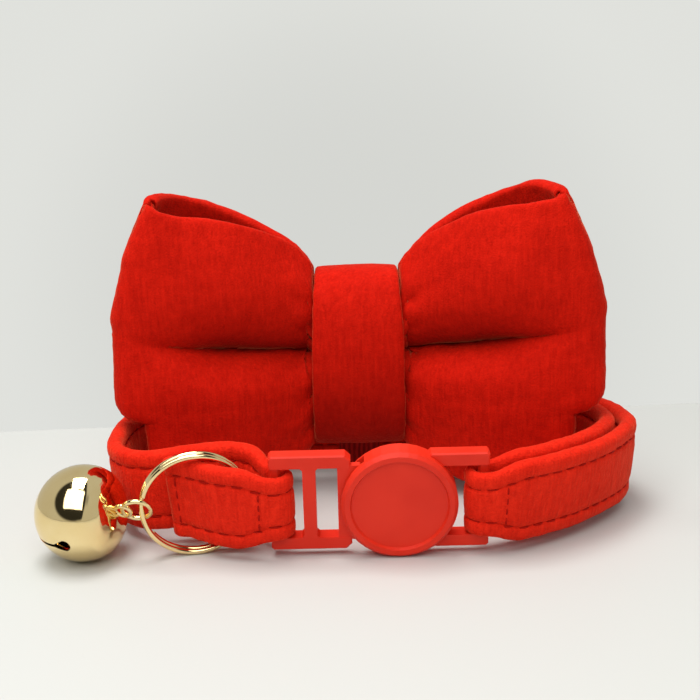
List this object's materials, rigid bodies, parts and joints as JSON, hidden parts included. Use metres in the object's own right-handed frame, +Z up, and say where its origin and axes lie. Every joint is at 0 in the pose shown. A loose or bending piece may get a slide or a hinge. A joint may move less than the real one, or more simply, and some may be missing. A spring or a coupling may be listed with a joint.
{
  "type": "pet bow tie collar",
  "caption": "Velvet covered cat collar closed in a loop by a round breakaway buckle, with a ring and jingle bell at the front and a pinched velvet bow at the back.",
  "frame": {"origin": "middle of the box of the whole collar, on the surface it stands on", "axes": "+X along the front of the collar from the bell towards the socket half of the buckle, -Y out through the buckle, +Y towards the bow and the back, +Z up"},
  "size_m": [0.0784, 0.0432, 0.0442],
  "materials": {
    "red_velvet": "short dense velvet pile, soft sheen towards grazing angles",
    "red_plastic": "injection moulded, satin",
    "gold_plate": "bright pale gold plating",
    "red_elastic": "flat knitted elastic"
  },
  "bodies": {
    "root": {"strap": "red_velvet", "buckle_plug": "red_plastic", "buckle_socket": "red_plastic", "split_ring": "gold_plate", "jump_ring": "gold_plate", "bell": "gold_plate", "bell_pellet": "gold_plate", "bow_loop": "red_velvet", "bow_knot": "red_velvet", "bow_elastic": "red_elastic"}
  },
  "joints": []
}
